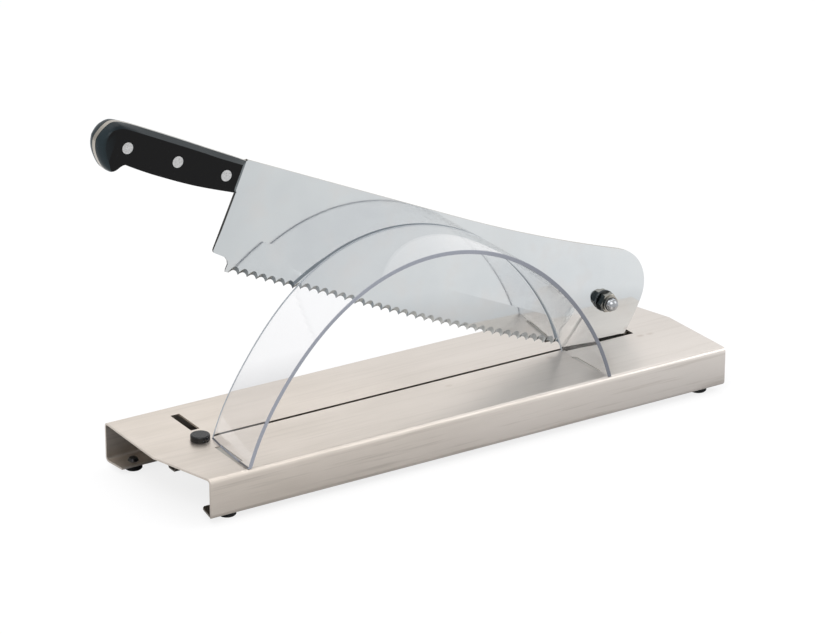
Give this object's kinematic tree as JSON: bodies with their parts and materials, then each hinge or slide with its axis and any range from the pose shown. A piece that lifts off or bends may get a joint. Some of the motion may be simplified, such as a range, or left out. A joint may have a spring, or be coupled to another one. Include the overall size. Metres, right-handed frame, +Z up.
{
  "type": "bread guillotine slicer",
  "caption": "Folded steel base with a hinged serrated blade that swings down into a slot beside a clear arched guard.",
  "frame": {"origin": "middle of the whole object's box in X and Y, at the bottom of the feet", "axes": "+X along the base from the handle's end to the hinge, +Y from the guard's side to the back, +Z up"},
  "size_m": [0.4814, 0.125, 0.2791],
  "materials": {
    "brushed_sheet": "stainless sheet, brushed along its length",
    "channel_sheet": "plain rolled stainless sheet",
    "fastener_steel": "plain bright steel",
    "black_rubber": "satin moulded rubber",
    "clear_sheet": "clear, slightly grey, polished faces and frosted edges",
    "bright_nut": "bright plated",
    "dark_nylon": "dark nylon",
    "polished_blade": "mirror polished",
    "white_plastic": "natural bearing plastic",
    "handle_plastic": "fine satin moulded plastic",
    "rivet_metal": "ground flush"
  },
  "bodies": {
    "base": {"base_plate": "brushed_sheet", "slot_channel": "channel_sheet", "pivot_bracket": "channel_sheet", "bracket_screws": "fastener_steel", "bracket_washers": "fastener_steel", "bracket_nuts": "fastener_steel", "foot_front_left": "black_rubber", "foot_front_right": "black_rubber", "foot_back_left": "black_rubber", "foot_back_right": "black_rubber", "stop_bumper": "black_rubber", "stop_stud": "fastener_steel", "stop_washer": "fastener_steel", "stop_nut": "fastener_steel", "guard": "clear_sheet", "pivot_bolt": "bright_nut", "bolt_washer": "fastener_steel", "pivot_nut": "bright_nut", "nut_ring": "dark_nylon", "nut_washer": "bright_nut", "friction_washer": "dark_nylon"},
    "blade_arm": {"blade": "polished_blade", "blade_bush": "white_plastic", "handle_scale_front": "handle_plastic", "handle_scale_rear": "handle_plastic", "rivet_pins": "rivet_metal", "rivet_tubes": "rivet_metal"}
  },
  "joints": [
    {"name": "blade_hinge", "type": "hinge", "parent": "base", "child": "blade_arm", "pos_m": [0.17358, 0, 0.0661], "axis": [0, 1, 0], "range_deg": [-22, 60]}
  ]
}
